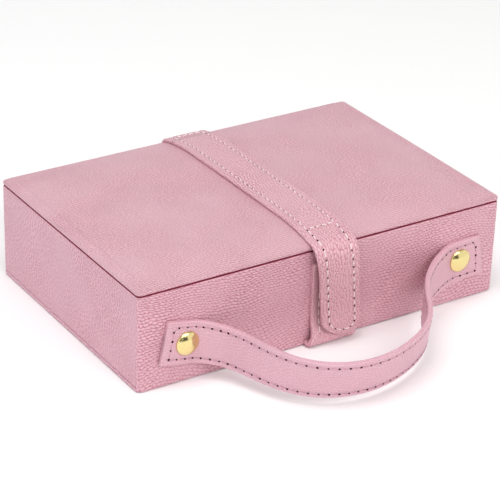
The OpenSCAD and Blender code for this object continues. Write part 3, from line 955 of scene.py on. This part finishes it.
# %% Hinge strip
hinge_rows, hinge_flat = [], []
near, far = hinge_low.x, hinge_high.x
levels = [hinge_low.z + (edge_top - 0.0008 - hinge_low.z) * k / 30 for k in range(31)]
for z in levels:
    ring = []
    edge = min(z - levels[0], levels[-1] - z, 0.0006) / 0.0006
    thick = hinge_t * (0.35 + 0.65 * math.sqrt(max(edge, 0.0)))
    for k in range(61):
        ring.append(Vector((near + (far - near) * k / 60, half_d + 0.00005, z)))
    for k in range(61):
        x = far - (far - near) * k / 60
        ends = min(1.0, min(x - near, far - x) / 0.0008)
        ring.append(Vector((x, half_d + 0.0001 + thick * (0.3 + 0.7 * math.sqrt(max(ends, 0.0))), z)))
    hinge_rows.append(ring)
    places = [(p.x, z) for p in ring]
    hinge_flat.append(places + [places[0]])
hinge_skin = skin("hinge_strip_leather", hinge_rows, hinge_flat, capped=(True, True))
hinge_skin.data.materials.append(leather)
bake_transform(hinge_skin)
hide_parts("hinge_leather")
print("hinge strip: %.0f mm wide" % (1000 * (hinge_high.x - hinge_low.x)))

# %% [markdown]
# ## Keeper strap
# The keeper is sewn to the front wall under the tongue and holds the second magnet. At the foot
# it bulges out and curls in under the case, a little wider than above.

# %% Keeper
keeper_low, keeper_high = low_high("keeper_strap")
keeper_mid = (keeper_low.x + keeper_high.x) / 2
# Each point of the underside is a distance in front of the wall and a height.
foot = [(0.0004, 0.00265), (0.0020, 0.00258), (0.0030, 0.0030), (0.0030, 0.0044), (0.0021, 0.0072),
        (0.0010, 0.0110), (0.0003, 0.0155), (0.0001, 0.020), (0.0001, 0.030),
        (0.0001, keeper_high.z - 0.0012)]
foot = curve_through([(-half_d - proud, z) for proud, z in foot], 6)
stations = []
for y, z, dy, dz in headings(foot):
    flare = 0.0030 * max(0.0, 1 - z / 0.008) ** 2
    top_gap = (keeper_high.z - z) / 0.004
    narrow = 0.0012 * max(0.0, 1 - top_gap) ** 2
    half = strap_half + flare - narrow
    stations.append(strap_station(y, z, -dz, dy, keeper_mid - flare * 0.7, half=half, seam=seam_x))
keeper = Strap(stations, 0.0023, 0.0007)
keeper_skin = keeper.build("keeper_leather", round_end=True)
dress(keeper_skin, strap_leather, "case")
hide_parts("keeper_strap")
top_s = keeper.length[-1] - 0.0035
keeper_route = [(0.006, -seam_x), (top_s, -seam_x), (top_s, seam_x), (0.006, seam_x)]
stitch_row("keeper_stitches", row_spots(keeper, keeper_route, 0.0045), white_thread, 0.00022, body="case")
print("keeper: %.0f mm long" % (1000 * keeper.length[-1]))

# %% [markdown]
# ## Handle
# The handle is one stiff strap, riveted flat to the front wall at both ends, that bows out and
# droops a little under its own weight. Each control point gives a place on its middle line and
# the lean of its upper edge. The frame has it as two tabs and a loop, and here it is one skin
# over all three.

# %% Handle route, in millimetres: x, y, z of the middle line, then the lean of the upper edge
tab_y = 1000 * (-half_d - 0.0015)
handle_route = [
    (-89.4, tab_y, 23.7, 0.10, 0.0), (-84.5, tab_y, 22.7, 0.10, 0.0), (-78.0, tab_y, 21.5, 0.10, 0.0),
    (-72.5, tab_y - 0.3, 20.5, 0.09, -0.02), (-67.0, -72.6, 19.5, 0.08, -0.05),
    (-61.5, -77.5, 18.5, 0.07, -0.09), (-57.5, -85.0, 17.8, 0.06, -0.14),
    (-54.2, -94.0, 17.2, 0.05, -0.19), (-50.5, -102.8, 16.5, 0.04, -0.23),
    (-44.5, -112.0, 15.6, 0.03, -0.26), (-36.0, -119.6, 15.0, 0.02, -0.28),
    (-25.5, -124.6, 14.7, 0.02, -0.29), (-14.0, -126.4, 14.5, 0.01, -0.29),
    (-2.5, -125.4, 14.5, 0.0, -0.29), (8.5, -122.2, 14.7, -0.01, -0.28),
    (19.0, -117.3, 15.0, -0.03, -0.27), (28.5, -110.6, 15.5, -0.06, -0.25),
    (36.0, -102.2, 16.5, -0.08, -0.22), (42.0, -92.6, 18.0, -0.08, -0.17),
    (49.0, -83.6, 19.6, -0.07, -0.11), (58.0, -76.4, 21.1, -0.06, -0.06),
    (65.5, -72.4, 22.1, -0.055, -0.03), (72.0, tab_y - 0.2, 22.8, -0.06, -0.01),
    (78.0, tab_y, 23.4, -0.06, 0.0), (84.5, tab_y, 23.8, -0.10, 0.0), (91.3, tab_y, 23.9, -0.17, 0.0)]
handle_half = 0.0110
handle_thick = 0.0026
handle_inset = 0.0029
route = curve_through(handle_route, 6)
stations = []
for k, (x, y, z, lean_x, lean_y) in enumerate(route):
    before, after = Vector(route[max(k - 1, 0)][:3]), Vector(route[min(k + 1, len(route) - 1)][:3])
    along = (after - before).normalized()
    upper = Vector((lean_x, lean_y, 1.0))
    # The right end is cut on the slant, so the last 6 mm keep their lean.
    square = min(1.0, max(0.0, (90.5 - x) / 6.0))
    upper = (upper - along * (upper.dot(along) * square)).normalized()
    out = along.cross(upper).normalized()
    middle = Vector((x, y, z)) * MM
    underside = middle - out * handle_thick / 2
    underside.y = min(underside.y, -half_d - 0.00005) if abs(x) > 66 else underside.y
    # Pulled leather is a little narrower in the loop than under the rivets.
    half = handle_half - 0.0006 * min(1.0, max(0.0, (70 - abs(x)) / 20))
    stations.append((underside, upper, out, half, half - handle_inset))
handle = Strap(stations, handle_thick, 0.0006)
handle_skin = handle.build("handle_leather", round_start=True, round_end=True)
handle_skin.data.materials.append(handle_leather)
handle_blend = ("case", "handle", (0, -half_d - 0.0030, 0.020), (0, -half_d - 0.0330, 0.020))
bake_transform(handle_skin)
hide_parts("handle_tab_left", "handle_tab_right", "handle_loop")
print("handle strap: %.0f mm long" % (1000 * handle.length[-1]))

# %% Handle stitches, front and back
row = handle_half - handle_inset
end_gap = 0.0032
first, last = end_gap, handle.length[-1] - end_gap
handle_rows = [(first, -row), (first, row), (last, row), (last, -row), (first, -row)]
for face, side in ((1, "front"), (-1, "back")):
    stitch_row("handle_stitches_" + side, row_spots(handle, handle_rows, 0.0046, 0.70, face), mauve_thread,
               0.00056, blend=handle_blend, radius=0.00022, slant=0.0001)
print("handle stitched on both faces")

# %% [markdown]
# ## Rivets
# Each rivet is a drawn brass cap with a rolled edge on a plain shank that passes through strap,
# leather and board to its washer. A turned part is a profile spun round its axis.

# %% Rivets
def turned(name, profile, centre, steps=64):
    rows = []
    for radius, reach in profile:
        rows.append([Vector((centre.x + radius * math.cos(2 * math.pi * j / steps), centre.y - reach,
                             centre.z + radius * math.sin(2 * math.pi * j / steps))) for j in range(steps)])
    flat = [[(j / steps, i / len(profile)) for j in range(steps + 1)] for i in range(len(profile))]
    return skin(name, rows, flat, capped=(True, True))


shank_r = 0.0016
for side in ("left", "right"):
    low, high = low_high("rivet_" + side)
    cap_r = (high.x - low.x) / 2
    seat = Vector(((low.x + high.x) / 2, -half_d - handle_thick, (low.z + high.z) / 2))
    dome = (seat.y - low.y)
    # The face is a flat spherical cap 1.75 mm high: its tilt grows evenly from the middle to the rim.
    rise, reach = 0.00175, cap_r * 0.95
    shoulder = dome - rise
    cap = [(cap_r * 0.90, -0.0001), (cap_r * 0.97, 0.0), (cap_r, 0.00025), (cap_r, shoulder - 0.0005),
           (cap_r * 0.985, shoulder - 0.0002), (reach, shoulder)]
    ball = (reach * reach + rise * rise) / (2 * rise)
    widest = math.asin(reach / ball)
    cap += [(ball * math.sin(widest * t), shoulder + ball * (math.cos(widest * t) - math.cos(widest)))
            for t in (0.97, 0.93, 0.88, 0.8, 0.7, 0.6, 0.5, 0.4, 0.3, 0.2, 0.1, 0.03)]
    shank = [(shank_r, seat.y - high.y), (shank_r, -0.0001)]
    rivet = turned("rivet_" + side + "_brass", shank + cap, seat)
    dress(rivet, brass, "case")
    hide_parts("rivet_" + side)
    print("rivet %s: cap %.1f mm across" % (side, 2000 * cap_r))

# %% The magnet between the tongue's plies
low, high = low_high("tongue_magnet")
magnet_r, magnet_t = (high.x - low.x) / 2, 0.0012
magnet_at = Vector(((low.x + high.x) / 2, start_y - 0.0005, (low.z + high.z) / 2))
magnet = turned("tongue_magnet_disc", [(magnet_r, 0.0), (magnet_r, magnet_t)], magnet_at)
dress(magnet, nickel, "tongue")
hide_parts("tongue_magnet")
print("magnet sewn in at", [round(1000 * c, 1) for c in magnet_at])

# %% [markdown]
# ## Inside
# The tray is lined with suede cloth. Its floor is a thin plain pad, the dividers are board
# wrapped in the same cloth, and the ring rolls are foam bars in tight cloth sleeves, so they
# are round on top, firm, and a little wrinkled at their ends.

# %% Wrapped boards and pads
def stacked_rings(profile, middle, size, corner, least, steps):
    """Rows and flat places of rounded outlines, stacked up a profile of (inset, height)."""
    rows, flat = [], []
    for inset, z in profile:
        ring = outline(size.x - inset, size.y - inset, max(corner - inset * 0.3, least), *steps)
        rows.append([Vector((middle.x + x, middle.y + y, z)) for x, y, _, _ in ring])
        flat.append([(x, y) for x, y, _, _ in ring] + [(ring[0][0], ring[0][1])])
    return rows, flat


def wrapped_block(name, low, high, radius, puff):
    """A board or foam block in a cloth sleeve: rounded edges and a top that stands up by puff."""
    size = (high - low) / 2
    middle = (low + high) / 2
    radius = min(radius, size.x * 0.9, size.y * 0.9, size.z)
    shoulder = high.z - puff - radius
    # The lower edge is a flattened quarter round.
    profile = [(radius, low.z)]
    for a in (math.radians(30), math.radians(60), math.radians(90)):
        profile.append((radius - radius * math.sin(a), low.z + 0.3 * radius * (1 - math.cos(a))))
    profile += [(0.0, low.z + (shoulder - low.z) * k / 4) for k in (1, 2, 3)]
    profile += arc(radius, shoulder, radius, 0, 90, 5)
    room = min(size.x, size.y)
    profile += [(radius + (room * 0.96 - radius) * t, high.z - puff + puff * math.sin(math.pi / 2 * t))
                for t in (0.12, 0.28, 0.48, 0.72, 1.0)]
    rows, flat = stacked_rings(profile, middle, size, 0.0012, 0.0004, (4, 20, 12))
    obj = skin(name, rows, flat, capped=(True, True))
    return dress(obj, suede, "case")


floor_low, floor_high = low_high("floor_pad")
pad = wrapped_block("floor_cushion", floor_low, floor_high, 0.0008, 0.0004)
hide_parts("floor_pad")
for node in ["long_divider"] + ["cross_divider_%d" % k for k in (1, 2, 3)]:
    low, high = low_high(node)
    wrapped = wrapped_block(node + "_wrapped", low, high, 0.0013, 0.0)
    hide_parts(node)
bed_low, bed_high = low_high("ring_bed")
bed = wrapped_block("ring_bed_cushion", bed_low, bed_high, 0.0015, 0.0)
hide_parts("ring_bed")
print("tray fitted with a floor pad, four dividers and a ring bed")

# %% Ring rolls
def ring_roll(node):
    low, high = low_high(node)
    radius = (high.y - low.y) / 2
    middle_y, crest = (low.y + high.y) / 2, high.z - radius
    rows, flat = [], []
    count = 34
    for i in range(count + 1):
        t = i / count
        ends = min(t, 1 - t) * (high.x - low.x)
        shrink = math.sqrt(max(0.0, 1 - (1 - min(1.0, ends / 0.0045)) ** 2)) * 0.24 + 0.76
        x = low.x + (high.x - low.x) * t
        row, places = [], []
        for j in range(32):
            a = 2 * math.pi * j / 32
            y, z = radius * math.cos(a), radius * math.sin(a)
            if z < 0:
                z = -(crest - low.z) * min(1.0, -math.sin(a) * 1.6) ** 0.8
                y = math.copysign(min(abs(radius * math.cos(a)) * 1.25, radius), math.cos(a))
            gather = 1 - 0.020 * math.exp(-ends / 0.006) * (0.5 + 0.5 * math.sin(9 * a + low.y * 4000))
            upper = shrink if z > 0 else 1.0
            row.append(Vector((x, middle_y + y * shrink * gather, crest + z * upper * gather)))
            places.append((x, radius * a))
        rows.append(row)
        flat.append(places + [(x, radius * 2 * math.pi)])
    obj = skin(node + "_cushion", rows, flat, capped=(True, True))
    dress(obj, suede, "case")
    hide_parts(node)
    return obj


rolls = [ring_roll(node) for node in sorted(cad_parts) if node.startswith("ring_roll_")]
print("ring rolls:", len(rolls))

# %% [markdown]
# ## Mirror in the lid
# The mirror is a bevelled plate of silvered glass, held by a padded suede frame.

# %% Mirror frame
frame_low, frame_high = low_high("mirror_frame")
glass_low, glass_high = low_high("mirror_glass")
border = frame_high.x - glass_high.x
lip_z = glass_low.z - 0.0002
deep = lip_z - frame_low.z
profile = [(border + 0.0006, lid_z - 0.0001), (border + 0.0012, glass_low.z + 0.0004),
           (border + 0.0018, lip_z)]
profile += [(border + 0.0018 - (border + 0.0008) * t, lip_z - deep * math.sin(math.pi * (0.5 * t + 0.02)))
            for t in (0.12, 0.25, 0.4, 0.55, 0.7, 0.85)]
profile += [(0.0010, frame_low.z + 0.0001), (0.0004, frame_low.z + 0.0004), (0.0, frame_low.z + 0.0010),
            (0.0, lid_z)]
rows, flat = stacked_rings(profile, Vector((0, 0, 0)), frame_high, 0.004, 0.0012, (6, 36, 24))
frame_skin = skin("mirror_frame_cushion", rows, flat)
if frame_skin.data.polygons[len(frame_skin.data.polygons) // 2].normal.z > 0:
    frame_skin.data.flip_normals()
dress(frame_skin, suede, "lid")
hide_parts("mirror_frame")
print("mirror frame: %d faces" % len(frame_skin.data.polygons))

# %% [markdown]
# ## Boards, linings and small parts that stay as they were cut
# Flat boards, glued linings, washers and magnets have the right shape already, so each takes
# only its material.

# %% Materials for the carried-over solids
finishes = {
    "base_board": board, "front_board": board, "rear_board": board, "left_board": board,
    "right_board": board, "lid_board": board, "wall_lining": suede, "lid_lining": suede,
    "mirror_glass": silvered, "keeper_magnet": nickel, "rivet_washer_left": brass,
    "rivet_washer_right": brass}
for node, finish in finishes.items():
    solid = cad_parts[node]
    if not solid.material_slots:
        solid.data.materials.append(finish)
    for material_slot in solid.material_slots:
        material_slot.material = finish
print("solids refinished:", len(finishes))

# %% [markdown]
# ## Studio
# A pale sweep of paper, a white tent of light, a large softbox overhead, a flatter one high in
# front and a cool reflector on the left: product light that leaves soft reflections on the
# leather. A small light low in front and a dark grey card behind the camera are there for the
# brass, which shows them as a glint and a dark crescent.

# %% Floor
def studio_sheet(name, corners, material_name, scale, low, high, roughness):
    """A flat sheet for the studio, whose grey wanders between low and high."""
    sheet = mesh_object(name, [Vector(corner) for corner in corners], [(0, 1, 2, 3)])
    material, tree, shader = new_material(material_name)
    tone = add(tree, "ShaderNodeMapRange", {"Value": speckle(tree, scale), "To Min": low, "To Max": high})
    tree.links.new(tone.outputs[0], shader.inputs["Base Color"])
    shader.inputs["Roughness"].default_value = roughness
    sheet.data.materials.append(material)
    return sheet


floor_at = -0.0002
floor = studio_sheet("studio_floor", [(x, y, floor_at) for x, y in ((-3, -3), (3, -3), (3, 3), (-3, 3))],
                     "white_paper_sweep", 300.0, 0.96, 0.98, 0.9)

# %% Light
world = bpy.data.worlds.new("white_tent")
world.use_nodes = True
sky = world.node_tree
place = add(sky, "ShaderNodeTexCoord")
parts = add(sky, "ShaderNodeSeparateXYZ", {0: place.outputs["Generated"]})
# The tent is open at the top, so its upper part is darker, and polished brass shows that.
fade = add(sky, "ShaderNodeMapRange", {"Value": parts.outputs["Z"], "From Min": 0.25, "From Max": 0.75,
           "To Min": 1.0, "To Max": 0.45}, interpolation_type="SMOOTHSTEP")
sky.links.new(fade.outputs[0], sky.nodes["Background"].inputs["Strength"])
sky.nodes["Background"].inputs["Color"].default_value = (1.0, 0.995, 0.99, 1.0)
scene.world = world


def softbox(name, place, target, size, power, tint=(1.0, 0.99, 0.98)):
    data = bpy.data.lights.new(name, "AREA")
    data.shape = "RECTANGLE"
    data.size, data.size_y = size
    data.energy = power
    data.color = tint
    lamp = bpy.data.objects.new(name, data)
    lamp.location = place
    lamp.rotation_euler = (Vector(target) - Vector(place)).to_track_quat("-Z", "Y").to_euler()
    scene.collection.objects.link(lamp)


softbox("key_softbox", (-0.35, -0.20, 1.35), (0, 0, 0.03), (0.8, 0.8), 8.4)
softbox("fill_softbox", (0.0, -1.10, 0.84), (-0.02, -0.05, 0.03), (1.0, 0.5), 6.3)
softbox("glint_light", (-0.34, -1.33, 0.24), (-0.078, -0.07, 0.022), (0.12, 0.08), 0.06)
softbox("cool_reflector", (-1.25, 0.25, 0.45), (-0.05, 0.0, 0.03), (0.9, 0.5), 1.75, (0.58, 0.88, 1.0))
flag_corners = ((-1.1, -1.6, 0.02), (0.35, -1.6, 0.02), (0.35, -1.6, 0.55), (-1.1, -1.6, 0.55))
flag = studio_sheet("grey_flag", flag_corners, "grey_felt", 400.0, 0.055, 0.075, 1.0)
print("studio lit")

# %% [markdown]
# ## Camera
# A long lens from the front left and above, at a little over a metre, keeps the box's edges
# nearly parallel, as in a catalogue picture. The camera leans by under two degrees.

# %% Camera
azimuth, elevation, roll = (math.radians(a) for a in (-33.07, 28.2, 1.76))
back = Vector((math.sin(azimuth) * math.cos(elevation), -math.cos(azimuth) * math.cos(elevation),
               math.sin(elevation)))
level = Vector((math.cos(azimuth), math.sin(azimuth), 0))
upward = back.cross(level)
right = level * math.cos(roll) + upward * math.sin(roll)
top = upward * math.cos(roll) - level * math.sin(roll)
camera_data = bpy.data.cameras.new("catalogue_camera")
camera_data.lens = 153.1
camera_data.sensor_width = 36.0
camera_data.shift_x = 0.005
camera_data.shift_y = 0.0626
camera_data.clip_start = 0.01
camera = bpy.data.objects.new("catalogue_camera", camera_data)
camera.matrix_world = Matrix((right, top, back)).transposed().to_4x4()
camera.matrix_world.translation = back * 1.0742
scene.collection.objects.link(camera)
scene.camera = camera
scene.view_settings.view_transform = "Standard"
print("camera at", [round(c, 3) for c in camera.matrix_world.translation])
